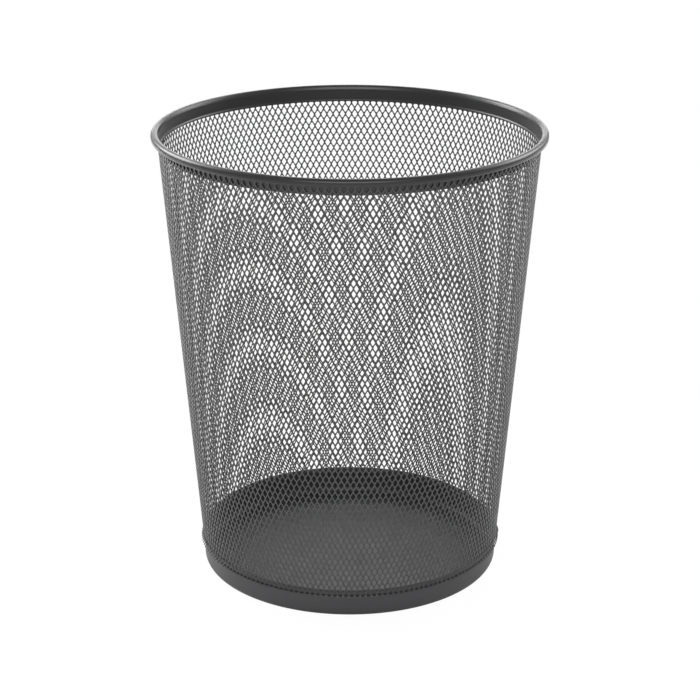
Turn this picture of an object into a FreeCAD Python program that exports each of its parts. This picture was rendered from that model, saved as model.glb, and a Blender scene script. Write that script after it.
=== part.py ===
"""Round steel-mesh wastebasket: a tapered wall of expanded steel mesh, a rolled steel rim
crimped over its top edge and a pressed steel pan welded inside its foot.

Units are millimetres. +Z is up, the origin is the centre of the foot on the floor, and the
basket is round about Z. The pieces meet on one cone, the seat cone: the outer faces of the
rim's band and of the pan's wall lie on it, and the mesh lies around it.
"""
import FreeCAD, Part
import math
import os

import Sketcher

PARTS = "parts"
os.makedirs(PARTS, exist_ok=True)
doc = FreeCAD.newDocument("wastebasket")

# ---------------------------------------------------------------- driving dimensions
SIZES = {
    "overall_height": 342.5,  # floor to the top of the rolled lip
    "rim_diameter": 292,  # over the rolled lip
    "foot_diameter": 225.2,  # seat cone at floor level
    "seat_gap": 0.1,  # mesh to seat cone
    "rim_sheet": 0.6,
    "lip_width": 6,  # rolled lip, inside to outside
    "lip_depth": 5.4,  # rolled lip, top to its turned-in edge
    "lip_return": 1.3,  # radius of the turned-in lower corner
    "crimp_gap": 0.25,  # turned-in edge to the mesh
    "rim_depth": 12.5,  # top of the lip to the hem of the band
    "hem_height": 1.8,
    "pan_sheet": 0.7,
    "pan_depth": 22,
    "pan_corner": 5,  # outside radius between wall and floor
    "mesh_sheet": 0.6,
    "mesh_foot": 20,  # lower edge of the mesh above the floor
    "mesh_top_gap": 0.4,  # upper edge of the mesh to the inside of the lip
    "mesh_columns": 24,  # diamonds around the wall
    "mesh_courses": 9,  # half-diamond rows up the wall
    "bond_width": 6.3,  # metal between neighbours of one row
    "bond_length": 11.7,  # metal between a diamond and the one above it
}

# Each rounded bend is drawn as chords of its arc. They stay within 0.2 mm of the arc on the
# outside of the sheet, and within 0.35 mm on the inside.
LIP_CHORDS = 6  # outside of the rolled lip, over half a turn
LIP_INSIDE_CHORDS = 3
RETURN_CHORDS = 2  # turned-in lower corner of the lip, over a quarter turn
PAN_CHORDS = 3  # outside of the pan's corner, over a quarter turn
PAN_INSIDE_CHORDS = 2
CUTTER_REACH = 8  # how far a diamond cutter runs past the mesh on each side

sheet = doc.addObject("Spreadsheet::Sheet", "Sizes")
for row, (alias, value) in enumerate(SIZES.items(), start=1):
    sheet.set(f"A{row}", alias)
    sheet.set(f"B{row}", str(value))
    sheet.setAlias(f"B{row}", alias)
doc.recompute()


def size(alias):
    """The number in the sheet's cell of that name."""
    return float(sheet.get(alias))


# Sizes worked out from the sheet, as expressions that the sketches are bound to.
S = "Sizes."
LIP_RADIUS = f"{S}lip_width / 2"
LIP_CENTRE_R = f"({S}rim_diameter / 2 - {S}lip_width / 2)"
LIP_CENTRE_Z = f"({S}overall_height - {S}lip_width / 2)"
SEAT_TOP_R = f"({S}rim_diameter / 2 - {S}lip_width + {S}rim_sheet)"
TAPER = f"(({SEAT_TOP_R} - {S}foot_diameter / 2) / {LIP_CENTRE_Z})"
MESH_TOP_Z = f"({S}overall_height - {S}lip_width / 2 - {S}mesh_top_gap)"


def seat_radius(height):
    """Expression of the seat cone's radius at a height that is itself an expression."""
    return f"({S}foot_diameter / 2 + ({height}) * {TAPER})"


# The mesh is made of flat facets, so its folds stand out past the middles of the facets by
# 1 / cos(half a facet's turn). The middles keep the seat gap.
FOLD = f"cos(90deg / {S}mesh_columns)"
FOLD_R = f"(({S}foot_diameter / 2 + {{z}} * {TAPER} + {S}seat_gap) / {FOLD})"
MESH_OUT_R = f"({FOLD_R.format(z=LIP_CENTRE_Z)} + {S}mesh_sheet)"


def value_of(expression):
    """The present value of an expression, for a sketch's first guess."""
    return float(sheet.evalExpression(expression))


# ---------------------------------------------------------------- sketch and body helpers
def origin_plane(body, role):
    for feature in body.Origin.OriginFeatures:
        if feature.Role == role:
            return feature
    raise ValueError(role)


def bind(sketch, constraint, name, expression):
    """Adds a dimension to the sketch and ties it to the expression."""
    index = sketch.addConstraint(constraint)
    sketch.renameConstraint(index, name)
    sketch.setExpression(f"Constraints.{name}", expression)


def outline_sketch(body, name, outline):
    """A closed profile in the XZ plane. Each corner is a pair of expressions: its distance
    from the axis and its height."""
    sketch = body.newObject("Sketcher::SketchObject", name)
    sketch.AttachmentSupport = [(origin_plane(body, "XZ_Plane"), "")]
    sketch.MapMode = "FlatFace"
    corners = [FreeCAD.Vector(value_of(r), value_of(z), 0) for r, z in outline]
    for start, end in zip(corners, corners[1:] + corners[:1]):
        sketch.addGeometry(Part.LineSegment(start, end), False)
    for i in range(len(corners)):
        following = (i + 1) % len(corners)
        sketch.addConstraint(Sketcher.Constraint("Coincident", i, 2, following, 1))
    for i, (across, up) in enumerate(outline):
        corner = corners[i]
        bind(sketch, Sketcher.Constraint("DistanceX", -1, 1, i, 1, corner.x), f"r{i}", across)
        bind(sketch, Sketcher.Constraint("DistanceY", -1, 1, i, 1, corner.y), f"z{i}", up)
    return sketch


def revolved_body(name, outline):
    """A Body that turns the outline once about Z."""
    body = doc.addObject("PartDesign::Body", name)
    body.Label = name
    sketch = outline_sketch(body, f"{name}_profile", outline)
    turn = body.newObject("PartDesign::Revolution", f"{name}_turn")
    turn.Profile = sketch
    turn.ReferenceAxis = (sketch, ["V_Axis"])
    turn.Angle = 360
    sketch.Visibility = False
    return body


def bend(centre_r, centre_z, radius, first, last, chords):
    """Corners of a rounded bend, as that many chords of its arc."""
    turns = [math.radians(first + (last - first) * i / chords) for i in range(chords + 1)]
    return [
        (f"{centre_r} + {radius} * {math.cos(a):.9f}", f"{centre_z} + {radius} * {math.sin(a):.9f}")
        for a in turns
    ]


# ---------------------------------------------------------------- rim
# One strip of sheet: a hemmed band inside the mesh, rolled outward over the mesh's top edge
# and turned in under itself, so that its free edge closes on the outside of the mesh.
LIP_FOOT_Z = f"({S}overall_height - {S}lip_depth)"
RETURN_R = f"({S}rim_diameter / 2 - {S}lip_return)"
RETURN_Z = f"({LIP_FOOT_Z} + {S}lip_return)"
LIP_INSIDE = f"({LIP_RADIUS} - {S}rim_sheet)"
FREE_EDGE_R = f"({MESH_OUT_R} + {S}crimp_gap)"
HEM_Z = f"({S}overall_height - {S}rim_depth)"
HEM_TOP_Z = f"({HEM_Z} + {S}hem_height)"

rim_outline = [
    (f"{seat_radius(HEM_Z)} - 2 * {S}rim_sheet", HEM_Z),
    (f"{seat_radius(HEM_TOP_Z)} - {S}rim_sheet", HEM_TOP_Z),
]
rim_outline += bend(LIP_CENTRE_R, LIP_CENTRE_Z, LIP_RADIUS, 180, 0, LIP_CHORDS)
rim_outline += bend(RETURN_R, RETURN_Z, f"{S}lip_return", 0, -90, RETURN_CHORDS)
rim_outline += [
    (FREE_EDGE_R, LIP_FOOT_Z),
    (FREE_EDGE_R, f"{LIP_FOOT_Z} + {S}rim_sheet"),
    (f"({S}rim_diameter / 2 - {S}rim_sheet)", f"{LIP_FOOT_Z} + {S}rim_sheet"),
]
rim_outline += bend(LIP_CENTRE_R, LIP_CENTRE_Z, LIP_INSIDE, 0, 180, LIP_INSIDE_CHORDS)
rim_outline += [(seat_radius(HEM_Z), HEM_Z)]
rim = revolved_body("rim", rim_outline)

# ---------------------------------------------------------------- base pan
# A pressed cup with a flat floor, whose wall leans out along the seat cone and stands inside
# the mesh.
PAN_WALL_R = seat_radius(f"{S}pan_corner")
CORNER_R = f"({PAN_WALL_R} - {S}pan_corner)"
INNER_CORNER = f"({S}pan_corner - {S}pan_sheet)"

pan_outline = [("0", "0")]
pan_outline += bend(CORNER_R, f"{S}pan_corner", f"{S}pan_corner", -90, 0, PAN_CHORDS)
pan_outline += [
    (seat_radius(f"{S}pan_depth"), f"{S}pan_depth"),
    (f"{seat_radius(f'{S}pan_depth')} - {S}pan_sheet", f"{S}pan_depth"),
]
pan_outline += bend(CORNER_R, f"{S}pan_corner", INNER_CORNER, 0, -90, PAN_INSIDE_CHORDS)
pan_outline += [("0", f"{S}pan_sheet")]
base_pan = revolved_body("base_pan", pan_outline)

# ---------------------------------------------------------------- mesh wall
# Expanded steel mesh drawn at a coarser pitch: a tapered tube of flat facets, two for each
# column, cut through by staggered diamonds that narrow towards the foot as the wall does.
# Every diamond sits astride a fold, and the rows at the two ends are cut through their
# middles, so that the edges are rows of strand ends.


def ring_of_corners(radius, height, sides):
    """Corners of a regular polygon, the first of them on +X."""
    step = 2 * math.pi / sides
    return [
        FreeCAD.Vector(radius * math.cos(i * step), radius * math.sin(i * step), height)
        for i in range(sides)
    ]


def faceted_tube(low, high, thickness, sides):
    """A tapered tube of flat facets between two (corner radius, height) pairs."""
    outer = [ring_of_corners(r + thickness, z, sides) for r, z in (low, high)]
    inner = [ring_of_corners(r, z, sides) for r, z in (low, high)]
    faces = []
    for i in range(sides):
        j = (i + 1) % sides
        for lower, upper in (outer, inner):
            faces.append([lower[i], lower[j], upper[j], upper[i]])
        for end in (0, 1):
            faces.append([outer[end][i], outer[end][j], inner[end][j], inner[end][i]])
    shell = Part.Shell([Part.Face(Part.makePolygon(c + c[:1])) for c in faces])
    tube = Part.Solid(shell)
    if tube.Volume < 0:
        tube.reverse()
    return tube


def diamond_cutter(angle, height, half_width, half_height, inner, outer):
    """A diamond prism that runs straight out through the wall at that angle."""
    out = FreeCAD.Vector(math.cos(angle), math.sin(angle), 0)
    side = FreeCAD.Vector(-math.sin(angle), math.cos(angle), 0)
    centre = out * inner + FreeCAD.Vector(0, 0, height)
    up = FreeCAD.Vector(0, 0, half_height)
    corners = [centre + up, centre + side * half_width, centre - up, centre - side * half_width]
    face = Part.Face(Part.makePolygon(corners + corners[:1]))
    return face.extrude(out * (outer - inner))


def mesh_shape():
    columns, courses = round(size("mesh_columns")), round(size("mesh_courses"))
    foot, top = size("mesh_foot"), value_of(MESH_TOP_Z)
    course = (top - foot) / courses
    sheet_depth = size("mesh_sheet")

    def inside(height):
        """Radius of the folds' inner edge."""
        return value_of(FOLD_R.format(z=height))

    tube = faceted_tube((inside(foot), foot), (inside(top), top), sheet_depth, 2 * columns)
    half_height = course - size("bond_length") / 2
    cutters = []
    for level in range(courses + 1):
        height = foot + level * course
        middle = inside(height)
        half_width = math.pi * middle / columns - size("bond_width") / 2
        for column in range(columns):
            angle = 2 * math.pi * (column + (level % 2) / 2) / columns
            reach = (middle - CUTTER_REACH, middle + sheet_depth + CUTTER_REACH)
            cutters.append(diamond_cutter(angle, height, half_width, half_height, *reach))
    return tube.cut(cutters)


mesh_wall = doc.addObject("Part::Feature", "mesh_wall")
mesh_wall.Label = "mesh_wall"
mesh_wall.Shape = mesh_shape()

# ---------------------------------------------------------------- check and write
doc.recompute()
for item in doc.Objects:
    if "Invalid" in item.State or "Error" in item.State:
        raise RuntimeError(f"{item.Name} failed: {item.State}")
for node in (rim, mesh_wall, base_pan):
    shape = node.Shape
    if shape.isNull() or not shape.isValid() or len(shape.Solids) != 1:
        raise RuntimeError(f"{node.Label} is not one sound solid")
    shape.exportStep(os.path.join(PARTS, f"{node.Label}.step"))
    box = shape.BoundBox
    print(f"{node.Label}: {shape.Volume:.0f} mm3, r {box.XMax:.2f}, z {box.ZMin:.2f}..{box.ZMax:.2f}")
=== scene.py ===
import math

import bmesh
import bpy
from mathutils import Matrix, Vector


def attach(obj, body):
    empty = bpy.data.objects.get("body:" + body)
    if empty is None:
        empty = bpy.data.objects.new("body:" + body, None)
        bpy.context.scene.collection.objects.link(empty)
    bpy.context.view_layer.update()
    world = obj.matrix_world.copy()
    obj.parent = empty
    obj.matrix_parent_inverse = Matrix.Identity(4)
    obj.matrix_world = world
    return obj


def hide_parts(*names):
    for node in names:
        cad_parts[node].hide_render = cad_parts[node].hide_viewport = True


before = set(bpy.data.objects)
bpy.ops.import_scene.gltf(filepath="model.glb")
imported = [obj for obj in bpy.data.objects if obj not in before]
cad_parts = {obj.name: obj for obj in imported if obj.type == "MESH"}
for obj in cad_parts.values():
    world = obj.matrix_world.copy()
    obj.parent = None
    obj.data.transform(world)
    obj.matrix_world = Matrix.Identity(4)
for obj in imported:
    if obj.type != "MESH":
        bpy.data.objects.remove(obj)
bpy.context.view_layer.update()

MM = 0.001

# ---------------------------------------------------------------- sizes, in metres
# The mesh wall is one cone. Its middle surface passes FOOT_RADIUS at floor level and leans out
# by LEAN for each metre of height.
FOOT_RADIUS = 113.0 * MM
LEAN = 0.08304
MESH_FOOT = 17.6 * MM
MESH_TOP = 339.0 * MM
COLUMNS = 176  # diamonds round the wall
DIAMOND = 9.015 * MM  # height of one diamond, two rows
ROW = DIAMOND / 2
SHEET = 0.6 * MM
STRAND = 0.88 * MM  # width of a strand
SECTORS = 16  # pieces that the wall is made in, each a plain mesh of its own
FLARE = 1.9 * MM  # how far the lower edge of the mesh stands out over its weld to the pan
FLARE_HEIGHT = 6.0 * MM
# The mesh is wound from one strip. It runs a little out of level, so the rows drop by WINDING
# for each radian round, and the columns lean by COLUMN_LEAN radians for each metre of height.
# The strip's ends lap at SEAM, on the right side, over LAP columns.
WINDING = 0.5 * MM
COLUMN_LEAN = 0.1
SEAM = math.pi / 2
LAP = 2
LAP_STEP = 1.1  # how far out the lap lies, in sheets, with its paint
FIRST_COLUMN = 0.26  # where the column nearest the front stands, in columns
FIRST_ROW = 0.118  # height of a row of bonds at the front, in diamonds
UNEVEN = -0.48  # columns by which the roll has crept round at the back
LEAN_HEIGHT = 170.0 * MM  # where the leaning columns stand at their own turn

RIM_RADIUS = 145.95 * MM
RIM_TOP = 342.5 * MM
ROUND_STEPS = 360  # facets round the rim and the pan
SHARP_EDGE = 40  # degrees; edges sharper than this aren't shaded round


def wall_radius(height):
    """Middle surface of the mesh wall."""
    return FOOT_RADIUS + LEAN * height


# ---------------------------------------------------------------- small tools
def linear(code):
    """An sRGB hex colour as a linear RGBA value."""
    values = [int(code[i : i + 2], 16) / 255 for i in (1, 3, 5)]
    shares = [v / 12.92 if v <= 0.04045 else ((v + 0.055) / 1.055) ** 2.4 for v in values]
    return (*shares, 1.0)


def add_node(tree, kind, inputs=None, **settings):
    """Adds a node, sets its properties, and gives each named input a value or a link."""
    node = tree.nodes.new(kind)
    for key, value in settings.items():
        setattr(node, key, value)
    for key, value in (inputs or {}).items():
        if isinstance(value, bpy.types.NodeSocket):
            tree.links.new(value, node.inputs[key])
        else:
            node.inputs[key].default_value = value
    return node


def new_object(name, mesh):
    made = bpy.data.objects.new(name, mesh)
    bpy.context.scene.collection.objects.link(made)
    return made


# ---------------------------------------------------------------- finishes
CLOUD = 35 * MM  # size of the patches in which the paint's gloss drifts
GLOSS_DRIFT = 0.03


def powder_coat(name, code, roughness, grain_mm, grain_depth_mm, grain_share):
    """Semi-gloss black powder coat on steel. The paint is baked on as a powder, so it lies in a
    faint orange peel: broad soft highlights, with their edges slightly broken."""
    made = bpy.data.materials.new(name)
    made.use_nodes = True
    tree = made.node_tree
    tree.nodes.clear()
    place = add_node(tree, "ShaderNodeTexCoord").outputs["Object"]
    peel = add_node(
        tree,
        "ShaderNodeTexNoise",
        {"Vector": place, "Scale": 1 / (grain_mm * MM), "Detail": 2.0, "Roughness": 0.5},
    )
    cloud = add_node(
        tree,
        "ShaderNodeTexNoise",
        {"Vector": place, "Scale": 1 / CLOUD, "Detail": 3.0, "Roughness": 0.55},
    )
    gloss = add_node(
        tree,
        "ShaderNodeMapRange",
        {
            "Value": cloud.outputs["Fac"],
            "From Min": 0.3,
            "From Max": 0.7,
            "To Min": roughness - GLOSS_DRIFT,
            "To Max": roughness + GLOSS_DRIFT,
        },
    )
    bump = add_node(
        tree,
        "ShaderNodeBump",
        {
            "Height": peel.outputs["Fac"],
            "Strength": grain_share,
            "Distance": grain_depth_mm * MM,
        },
    )
    shader = add_node(
        tree,
        "ShaderNodeBsdfPrincipled",
        {
            "Roughness": gloss.outputs["Result"],
            "Normal": bump.outputs["Normal"],
            "Base Color": linear(code),
            "Metallic": 0.0,
            "IOR": 1.5,
        },
    )
    add_node(tree, "ShaderNodeOutputMaterial", {"Surface": shader.outputs["BSDF"]})
    return made


# the wall's strands: fine paint, thick at the bonds, with a soft sheen along each strand
mesh_coat = powder_coat("black_powder_coat_on_expanded_steel", "#343435", 0.36, 0.9, 0.02, 0.3)
# the lip: the smoothest of the three, so it carries the thin bright lines
rim_coat = powder_coat("black_powder_coat_on_rolled_steel", "#1a1a1c", 0.34, 2.2, 0.012, 0.08)
# the pan: duller, since its broad flat floor gives back no clear reflection
pan_coat = powder_coat("black_powder_coat_on_pressed_steel", "#333335", 0.5, 1.6, 0.015, 0.12)


# ---------------------------------------------------------------- turned pieces
def arc(centre, radius, first, last, steps):
    """Points of an arc in the (distance from the axis, height) plane, in degrees."""
    turns = [math.radians(first + (last - first) * i / steps) for i in range(steps + 1)]
    return [(centre[0] + radius * math.cos(a), centre[1] + radius * math.sin(a)) for a in turns]


def turned(name, outline, material, closed=True):
    """A closed outline turned once about the axis."""
    shape = bmesh.new()
    rings = []
    for across, up in outline:
        if across < 1e-7:
            rings.append([shape.verts.new((0, 0, up))])
            continue
        rings.append(
            [
                shape.verts.new(
                    (
                        across * math.cos(2 * math.pi * i / ROUND_STEPS),
                        across * math.sin(2 * math.pi * i / ROUND_STEPS),
                        up,
                    )
                )
                for i in range(ROUND_STEPS)
            ]
        )
    pairs = list(zip(rings, rings[1:]))
    if closed:
        pairs.append((rings[-1], rings[0]))
    for low, high in pairs:
        for i in range(ROUND_STEPS):
            j = (i + 1) % ROUND_STEPS
            if len(low) == 1:
                shape.faces.new((low[0], high[i], high[j]))
            elif len(high) == 1:
                shape.faces.new((low[i], high[0], low[j]))
            else:
                shape.faces.new((low[i], low[j], high[j], high[i]))
    bmesh.ops.recalc_face_normals(shape, faces=shape.faces)
    mesh = bpy.data.meshes.new(name)
    shape.to_mesh(mesh)
    shape.free()
    mesh.materials.append(material)
    mesh.polygons.foreach_set("use_smooth", [True] * len(mesh.polygons))
    mesh.set_sharp_from_angle(angle=math.radians(SHARP_EDGE))
    return new_object(name, mesh)


RIM_SHEET = 0.6 * MM
LIP_RADIUS = 3.0 * MM
LIP_CENTRE = (RIM_RADIUS - LIP_RADIUS, RIM_TOP - LIP_RADIUS)
BEND = 2.4 * MM  # the lip's inner side bends tighter, about a narrow flat
FLAT = 1.2 * MM
FLAT_TILT = 21  # degrees that the flat faces up, towards a light in front
RETURN = 1.3 * MM  # radius of the lip's turned-in lower corner
LIP_FOOT = RIM_TOP - 5.4 * MM
SEAT_FOOT = 112.6 * MM
SEAT_SLOPE = 0.0824742


def seat(height):
    """The cone that the band of the rim and the wall of the pan lie on."""
    return SEAT_FOOT + SEAT_SLOPE * height


BAND_FOOT = RIM_TOP - 12.5 * MM
FREE_EDGE = 141.74 * MM  # the lip's turned-in edge, just clear of the mesh
HEM_DEPTH = 1.3 * MM  # how far the hem at the band's foot stands in from the seat
HEM_HEIGHT = 2.1 * MM
MESH_GAP = 0.1 * MM  # the pan's wall to the seat, where the mesh passes it
# Up the inner side of the band from its hem, over the lip to its turned-in edge, and back along
# the other side of the sheet.
rim_outline = [
    (seat(BAND_FOOT) - 1.2 * MM, BAND_FOOT + 0.3 * MM),  # the round foot of the hem
    (seat(BAND_FOOT) - HEM_DEPTH, BAND_FOOT + 1.0 * MM),
    (seat(BAND_FOOT) - 0.85 * MM, BAND_FOOT + 1.8 * MM),  # its slope faces the front light
    (seat(BAND_FOOT + HEM_HEIGHT) - RIM_SHEET, BAND_FOOT + HEM_HEIGHT),
]
bend_top = (LIP_CENTRE[0], RIM_TOP - BEND)
bend_foot = (
    bend_top[0] - FLAT * math.sin(math.radians(FLAT_TILT)),
    bend_top[1] - FLAT * math.cos(math.radians(FLAT_TILT)),
)
rim_outline += arc(bend_foot, BEND, 180, 180 - FLAT_TILT, 5)
rim_outline += arc(bend_top, BEND, 180 - FLAT_TILT, 90, 9)
rim_outline += arc(LIP_CENTRE, LIP_RADIUS, 90, 0, 10)[1:]
rim_outline += arc((RIM_RADIUS - RETURN, LIP_FOOT + RETURN), RETURN, 0, -90, 8)
rim_outline += [(FREE_EDGE, LIP_FOOT), (FREE_EDGE, LIP_FOOT + RIM_SHEET)]
rim_outline += arc((RIM_RADIUS - RETURN, LIP_FOOT + RETURN), RETURN - RIM_SHEET, -90, 0, 5)
rim_outline += arc(LIP_CENTRE, LIP_RADIUS - RIM_SHEET, 0, 180, 14)
rim_outline += [
    (seat(BAND_FOOT), BAND_FOOT + 0.3 * MM),
    (seat(BAND_FOOT) - 0.3 * MM, BAND_FOOT),
    (seat(BAND_FOOT) - 0.9 * MM, BAND_FOOT),
]
rim = turned("rolled_rim", rim_outline, rim_coat)

PAN_SHEET = 0.7 * MM
PAN_CORNER = 5.0 * MM
PAN_DEPTH = 22.0 * MM
PAN_RADIUS = 113.9 * MM  # the band below the mesh stands upright
GROOVE_AT = 16.6 * MM  # a groove pressed in the wall, behind the lower edge of the mesh
GROOVE = 1.3 * MM  # its depth
corner_centre = (PAN_RADIUS - PAN_CORNER, PAN_CORNER)
pan_outline = [(0.0, 0.0)]
pan_outline += arc(corner_centre, PAN_CORNER, -90, 0, 10)
groove = [
    (PAN_RADIUS, GROOVE_AT),
    (seat(GROOVE_AT) - GROOVE, GROOVE_AT + 0.5 * MM),
    (seat(GROOVE_AT) - GROOVE, GROOVE_AT + 1.3 * MM),
    (seat(GROOVE_AT) - MESH_GAP, GROOVE_AT + 1.9 * MM),
]
pan_outline += groove
# The round top edge of the pan, then down its inner side.
pan_outline += [
    (seat(PAN_DEPTH) - MESH_GAP, PAN_DEPTH - 0.2 * MM),
    (seat(PAN_DEPTH) - 0.3 * MM, PAN_DEPTH),
    (seat(PAN_DEPTH) - 0.6 * MM, PAN_DEPTH),
    (seat(PAN_DEPTH) - MESH_GAP - PAN_SHEET, PAN_DEPTH - 0.2 * MM),
]
pan_outline += [(across - PAN_SHEET, up) for across, up in reversed(groove)]
pan_outline += arc(corner_centre, PAN_CORNER - PAN_SHEET, 0, -90, 8)
pan_outline += [(0.0, PAN_SHEET)]
pan = turned("pressed_pan", pan_outline, pan_coat, closed=False)


# ---------------------------------------------------------------- mesh wall
# Expanded steel mesh: the sheet is slit in staggered rows and stretched, so each diamond is
# bounded by four slanting strands that meet in short upright bonds.
def node_group_wall():
    """Geometry Nodes: sets one cell of the mesh out round the cone and up it. The cell is given
    flat; each copy is laid on the cone at its own column and row by bending its points."""
    tree = bpy.data.node_groups.new("expanded_mesh", "GeometryNodeTree")
    interface = tree.interface
    interface.new_socket("Cell", in_out="INPUT", socket_type="NodeSocketObject")
    for label, kind in (
        ("Columns here", "NodeSocketInt"),
        ("Rows", "NodeSocketInt"),
        ("First column", "NodeSocketFloat"),
        ("Columns round", "NodeSocketFloat"),
        ("Row height", "NodeSocketFloat"),
        ("Foot height", "NodeSocketFloat"),
        ("Foot radius", "NodeSocketFloat"),
        ("Lean", "NodeSocketFloat"),
        ("Sheet", "NodeSocketFloat"),
        ("Flare", "NodeSocketFloat"),
        ("Flare height", "NodeSocketFloat"),
        ("Winding", "NodeSocketFloat"),
        ("Column lean", "NodeSocketFloat"),
        ("Uneven", "NodeSocketFloat"),
        ("First height", "NodeSocketFloat"),
        ("Lap starts", "NodeSocketFloat"),
        ("Middle height", "NodeSocketFloat"),
    ):
        interface.new_socket(label, in_out="INPUT", socket_type=kind)
    interface.new_socket("Finish", in_out="INPUT", socket_type="NodeSocketMaterial")
    interface.new_socket("Geometry", in_out="OUTPUT", socket_type="NodeSocketGeometry")
    known = {socket.name: socket for socket in add_node(tree, "NodeGroupInput").outputs}
    known["index"] = add_node(tree, "GeometryNodeInputIndex").outputs[0]
    position = add_node(tree, "GeometryNodeInputPosition").outputs[0]
    split = add_node(tree, "ShaderNodeSeparateXYZ", {"Vector": position})
    known.update({"x": split.outputs["X"], "y": split.outputs["Y"], "z": split.outputs["Z"]})

    # Every sum of the group: its result, the operation, and the known values it works on.
    sums = [
        # One point for each cell, in flat cell units: X = column, Z = row. Odd rows are set
        # half a column along.
        ("count", "MULTIPLY", "Columns here", "Rows"),
        ("mid index", "ADD", "index", 0.5),
        ("rows done", "DIVIDE", "mid index", "Columns here"),
        ("row", "FLOOR", "rows done"),
        ("cells below", "MULTIPLY", "row", "Columns here"),
        ("column", "SUBTRACT", "index", "cells below"),
        ("odd", "MODULO", "row", 2.0),
        ("stagger", "MULTIPLY", "odd", 0.5),
        ("staggered", "ADD", "column", "stagger"),
        ("across", "ADD", "staggered", "First column"),
        # Flat cell units are bent on to the cone: columns become turns, rows become heights.
        ("share of turn", "DIVIDE", "x", "Columns round"),
        ("even turn", "MULTIPLY", "share of turn", 2 * math.pi),
        ("cosine", "COSINE", "even turn"),
        ("towards back", "SUBTRACT", 1.0, "cosine"),
        ("creep share", "MULTIPLY", "towards back", 0.5),
        ("creep columns", "MULTIPLY", "creep share", "Uneven"),
        ("column turn", "DIVIDE", 2 * math.pi, "Columns round"),
        ("creep", "MULTIPLY", "creep columns", "column turn"),
        ("turn", "ADD", "even turn", "creep"),
        ("rows up", "MULTIPLY", "z", "Row height"),
        ("unwound", "ADD", "First height", "rows up"),
        ("wound", "MULTIPLY", "turn", "Winding"),
        ("height", "ADD", "unwound", "wound"),
        ("over middle", "SUBTRACT", "height", "Middle height"),
        ("column leans", "MULTIPLY", "over middle", "Column lean"),
        ("angle", "ADD", "turn", "column leans"),
        ("leans out", "MULTIPLY", "height", "Lean"),
        ("cone", "ADD", "Foot radius", "leans out"),
        ("above foot", "SUBTRACT", "height", "Foot height"),
        ("share of flare", "DIVIDE", "above foot", "Flare height"),
        ("flare left", "SUBTRACT", 1.0, "share of flare"),
        ("flare over zero", "MAXIMUM", "flare left", 0.0),
        ("flare curve", "POWER", "flare over zero", 2.0),
        ("flare", "MULTIPLY", "flare curve", "Flare"),
        # the lap lies a sheet further out, with a slope of one column up to it
        ("past lap", "SUBTRACT", "x", "Lap starts"),
        ("past lap or zero", "MAXIMUM", "past lap", 0.0),
        ("lapped", "MINIMUM", "past lap or zero", 1.0),
        ("lap step", "MULTIPLY", "lapped", "Sheet"),
        ("lap with paint", "MULTIPLY", "lap step", LAP_STEP),
        ("through", "MULTIPLY", "y", "Sheet"),
        ("cone and flare", "ADD", "cone", "flare"),
        ("lap and through", "ADD", "through", "lap with paint"),
        ("radius", "ADD", "cone and flare", "lap and through"),
        ("sine of angle", "SINE", "angle"),
        ("cosine of angle", "COSINE", "angle"),
        ("to the right", "MULTIPLY", "radius", "sine of angle"),
        ("to the front", "MULTIPLY", "radius", "cosine of angle"),
        ("to the back", "MULTIPLY", "to the front", -1.0),
    ]
    for result, operation, *terms in sums:
        inputs = {slot: known.get(term, term) for slot, term in enumerate(terms)}
        node = add_node(tree, "ShaderNodeMath", inputs, operation=operation)
        known[result] = node.outputs[0]

    points = add_node(tree, "GeometryNodePoints", {"Count": known["count"]})
    at = add_node(tree, "ShaderNodeCombineXYZ", {"X": known["across"], "Z": known["row"]})
    placed = add_node(
        tree,
        "GeometryNodeSetPosition",
        {"Geometry": points.outputs[0], "Position": at.outputs[0]},
    )
    cell = add_node(tree, "GeometryNodeObjectInfo", {"Object": known["Cell"]})
    copies = add_node(
        tree,
        "GeometryNodeInstanceOnPoints",
        {"Points": placed.outputs[0], "Instance": cell.outputs["Geometry"]},
    )
    flat = add_node(tree, "GeometryNodeRealizeInstances", {"Geometry": copies.outputs[0]})
    joined = add_node(
        tree, "GeometryNodeMergeByDistance", {"Geometry": flat.outputs[0], "Distance": 1e-4}
    )

    bent = add_node(
        tree,
        "ShaderNodeCombineXYZ",
        {"X": known["to the right"], "Y": known["to the back"], "Z": known["height"]},
    )
    wrapped = add_node(
        tree,
        "GeometryNodeSetPosition",
        {"Geometry": joined.outputs[0], "Position": bent.outputs[0]},
    )
    real = add_node(tree, "GeometryNodeRealizeInstances", {"Geometry": wrapped.outputs[0]})
    painted = add_node(
        tree,
        "GeometryNodeSetMaterial",
        {"Geometry": real.outputs[0], "Material": known["Finish"]},
    )
    add_node(tree, "NodeGroupOutput", {"Geometry": painted.outputs[0]})
    return tree


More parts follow.
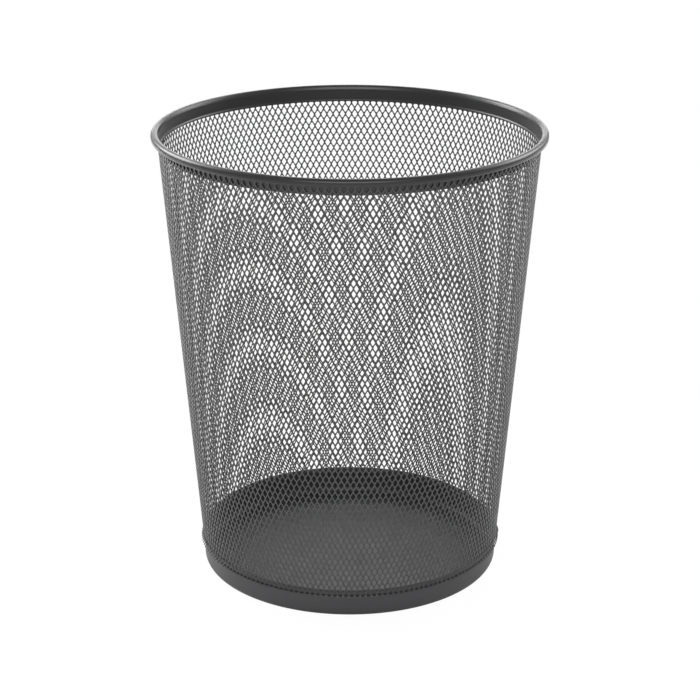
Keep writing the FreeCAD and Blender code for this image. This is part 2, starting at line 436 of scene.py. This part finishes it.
def cell_mesh():
    """One bond with the halves of the four strands that run from it, flat. X is in columns, Z
    in rows, and Y goes through the sheet from -1/2 to 1/2. The strands end level, halfway to
    the next bonds, where the next cells carry on. The faces' edges are rounded off by paint, so
    they have a small chamfer."""
    pitch = 2 * math.pi * wall_radius((MESH_FOOT + MESH_TOP) / 2) / COLUMNS
    rise = math.hypot(pitch / 2, ROW) / ROW
    half = STRAND / 2 * rise / pitch  # half of a strand's level width, in columns
    notch = 2 * half  # where two strands' edges would meet over the bond, in rows
    crossing = 0.25  # where a strand crosses the end of its cell, in columns
    quarter = [
        (half + 0.015, 0.0),  # the bond, at its narrowest
        (half + 0.03, 0.10),  # where the strand leaves the bond
        (crossing + half, 0.5),  # the two sides of the strand, where the cell ends
        (crossing - half, 0.5),
        (0.035, notch + 0.145),  # the rounded corner of the diamond above
        (0.0, notch + 0.115),
    ]
    upper = quarter + [(-x, z) for x, z in reversed(quarter[:-1])]
    ring = upper + [(x, -z) for x, z in reversed(upper[1:-1])]
    draw = 0.22 * half  # the faces are drawn in by this much, which leaves the chamfer

    def inset(x, z):
        """A point of the outline drawn in, towards the middle of the strand that it is on."""
        if abs(abs(z) - 0.5) < 1e-6:
            return (x - math.copysign(draw, abs(x) - crossing) * math.copysign(1, x), z)
        if abs(x) < 1e-6:
            return (x, z - math.copysign(2 * draw, z))
        return (x - math.copysign(draw, x), z * 0.985)

    side = 0.30  # the strand's sides stand upright this far from the middle of the sheet
    levels = [
        ([inset(x, z) for x, z in ring], 0.5),
        (ring, side),
        (ring, -side),
        ([inset(x, z) for x, z in ring], -0.5),
    ]
    shape = bmesh.new()
    rings = [[shape.verts.new((x, y, z)) for x, z in points] for points, y in levels]
    shape.faces.new(rings[0])
    shape.faces.new(list(reversed(rings[-1])))
    for i, (x, z) in enumerate(ring):
        j = (i + 1) % len(ring)
        if abs(z - ring[j][1]) < 1e-6 and abs(abs(z) - 0.5) < 1e-6:
            continue
        for outer, inner in zip(rings, rings[1:]):
            shape.faces.new((outer[j], outer[i], inner[i], inner[j]))
    mesh = bpy.data.meshes.new("mesh_cell")
    shape.to_mesh(mesh)
    shape.free()
    return new_object("mesh_cell", mesh)


cell = cell_mesh()
# The strip starts at the seam on the right, runs behind the basket to the left and round the
# front, and ends on top of its own start.
START_COLUMN = (SEAM - 2 * math.pi) / (2 * math.pi) * COLUMNS
LEVEL_ROWS = math.ceil((MESH_TOP - MESH_FOOT) / ROW)
SLACK_ROWS = 2  # rows past the edges that the winding can bring inside them
FIRST_HEIGHT = MESH_FOOT - SLACK_ROWS * ROW
FIRST_HEIGHT -= (FIRST_HEIGHT - FIRST_ROW * DIAMOND) % DIAMOND
ROWS = LEVEL_ROWS + 2 * SLACK_ROWS + 2
wall_tree = node_group_wall()
sockets = {
    item.name: item.identifier
    for item in wall_tree.interface.items_tree
    if item.in_out == "INPUT"
}


def trim_strip(mesh):
    """Cuts the strip level at its two edges, and closes the ends of all cut strands."""
    shape = bmesh.new()
    shape.from_mesh(mesh)
    for height, up in ((MESH_FOOT, -1), (MESH_TOP, 1)):
        bmesh.ops.bisect_plane(
            shape,
            geom=list(shape.verts) + list(shape.edges) + list(shape.faces),
            dist=1e-7,
            plane_co=(0, 0, height),
            plane_no=(0, 0, up),
            clear_outer=True,
        )
    bmesh.ops.holes_fill(shape, edges=[e for e in shape.edges if e.is_boundary], sides=0)
    bmesh.ops.recalc_face_normals(shape, faces=shape.faces)
    shape.to_mesh(mesh)
    shape.free()


columns_each = COLUMNS // SECTORS
wall_pieces = []
for sector in range(SECTORS):
    last = sector == SECTORS - 1
    host = new_object("sector_host", bpy.data.meshes.new("sector_host"))
    modifier = host.modifiers.new("mesh", "NODES")
    modifier.node_group = wall_tree
    settings = {
        "Cell": cell,
        "Columns here": columns_each + (LAP if last else 0),
        "Rows": ROWS,
        "First column": START_COLUMN + sector * columns_each + FIRST_COLUMN,
        "Columns round": float(COLUMNS),
        "Row height": ROW,
        "Foot height": MESH_FOOT,
        "Foot radius": FOOT_RADIUS,
        "Lean": LEAN,
        "Sheet": SHEET,
        "Flare": FLARE,
        "Flare height": FLARE_HEIGHT,
        "Winding": WINDING,
        "Column lean": COLUMN_LEAN,
        "Uneven": UNEVEN,
        "First height": FIRST_HEIGHT,
        "Lap starts": START_COLUMN + COLUMNS - 1 + FIRST_COLUMN,
        "Middle height": LEAN_HEIGHT,
        "Finish": mesh_coat,
    }
    for label, value in settings.items():
        modifier[sockets[label]] = value
    bpy.context.view_layer.update()
    seen = host.evaluated_get(bpy.context.evaluated_depsgraph_get())
    mesh = bpy.data.meshes.new_from_object(seen)
    host.modifiers.remove(modifier)
    bpy.data.objects.remove(host)
    trim_strip(mesh)
    mesh.name = f"mesh_wall_{sector:02d}"
    wall_pieces.append(new_object(f"mesh_wall_{sector:02d}", mesh))
bpy.data.objects.remove(cell)

# ---------------------------------------------------------------- riding, and the CAD parts hidden
for piece, slot_name in [(rim, "rim_paint"), (pan, "pan_paint")] + [
    (piece, "mesh_paint") for piece in wall_pieces
]:
    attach(piece, "root")
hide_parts("rim")
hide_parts("base_pan")
for piece in wall_pieces:
    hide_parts("mesh_wall")


# ---------------------------------------------------------------- floor, light and camera
WHITE = (1.0, 1.0, 1.0, 1.0)
FLOOR_WHITE = 0.96  # share of the floor that the camera sees as plain white
GLOW = 0.55  # strength of the room light
FLOOR_REACH = 6.0  # half the floor's width
SHADOW_REACH = 0.5  # beyond this distance the camera sees the floor as plain white

# A pale matt floor. The camera sees it mostly as white, with a share of the real floor left in
# it, so the object's soft shadow stays.
pale = bpy.data.materials.new("pale_matt_floor")
pale.use_nodes = True
tree = pale.node_tree
tree.nodes.clear()
path = add_node(tree, "ShaderNodeLightPath")
matt = add_node(tree, "ShaderNodeBsdfDiffuse", {"Color": linear("#f8f8f8")})
white = add_node(tree, "ShaderNodeEmission", {"Color": WHITE, "Strength": 1.0})
place = add_node(tree, "ShaderNodeTexCoord")
away = add_node(
    tree, "ShaderNodeVectorMath", {0: place.outputs["Object"]}, operation="LENGTH"
)
whiter = add_node(
    tree,
    "ShaderNodeMapRange",
    {
        "Value": away.outputs["Value"],
        "From Min": SHADOW_REACH / 2,
        "From Max": SHADOW_REACH,
        "To Min": FLOOR_WHITE,
        "To Max": 1.0,
    },
)
seen = add_node(
    tree,
    "ShaderNodeMath",
    {0: path.outputs["Is Camera Ray"], 1: whiter.outputs["Result"]},
    operation="MULTIPLY",
)
mixed = add_node(
    tree,
    "ShaderNodeMixShader",
    {0: seen.outputs[0], 1: matt.outputs[0], 2: white.outputs[0]},
)
add_node(tree, "ShaderNodeOutputMaterial", {"Surface": mixed.outputs[0]})
floor_mesh = bpy.data.meshes.new("floor")
floor_mesh.from_pydata(
    [(x * FLOOR_REACH, y * FLOOR_REACH, 0) for x, y in ((-1, -1), (1, -1), (1, 1), (-1, 1))],
    [],
    [(0, 1, 2, 3)],
)
floor_mesh.materials.append(pale)
floor = new_object("floor", floor_mesh)

world = bpy.data.worlds.new("studio")
bpy.context.scene.world = world
world.use_nodes = True
sky = world.node_tree
sky.nodes.clear()
path = add_node(sky, "ShaderNodeLightPath")
glow = add_node(sky, "ShaderNodeBackground", {"Color": WHITE, "Strength": GLOW})
white = add_node(sky, "ShaderNodeBackground", {"Color": WHITE, "Strength": 1.0})
pick = add_node(
    sky,
    "ShaderNodeMixShader",
    {0: path.outputs["Is Camera Ray"], 1: glow.outputs[0], 2: white.outputs[0]},
)
add_node(sky, "ShaderNodeOutputWorld", {"Surface": pick.outputs[0]})


def lamp(name, place, aim, width, height, watts):
    """A soft lamp that faces the point it is aimed at."""
    light = bpy.data.lights.new(name, "AREA")
    light.shape = "RECTANGLE"
    light.size = width
    light.size_y = height
    light.energy = watts
    made = new_object(name, light)
    made.location = place
    made.rotation_euler = (Vector(aim) - Vector(place)).to_track_quat("-Z", "Y").to_euler()


MIDDLE = (0.0, 0.0, 0.2)
# The key stands behind and above. It draws the pan wall's shadow across the back of its floor,
# and the bright line along the top of the lip. The horizon box is low and far behind, where the
# ends of the lip mirror it across their whole width. The strips stand high at the sides, so the
# lip keeps a dark underside.
lamp("back_key", (0.0, 1.7, 1.42), (0, 0, 0), 1.2, 0.3, 8)
lamp("horizon_softbox", (0.0, 2.6, 0.62), (0, 0, 0.34), 2.0, 0.8, 14)
lamp("front_softbox", (0.0, -2.3, 1.7), MIDDLE, 2.4, 0.9, 32)
lamp("left_strip", (-1.4, 0.9, 1.15), MIDDLE, 1.1, 1.0, 36)
lamp("right_strip", (1.4, 0.9, 1.15), MIDDLE, 1.1, 1.0, 22)

camera_data = bpy.data.cameras.new("camera")
camera_data.sensor_width = 36
camera_data.lens = 103.81
camera_data.shift_x = 0.0003
camera = new_object("camera", camera_data)
camera.location = (0, -1.447968, 0.698316)
camera.rotation_euler = (math.radians(90 - 20.096), 0, 0)
bpy.context.scene.camera = camera
bpy.context.scene.view_settings.view_transform = "Standard"
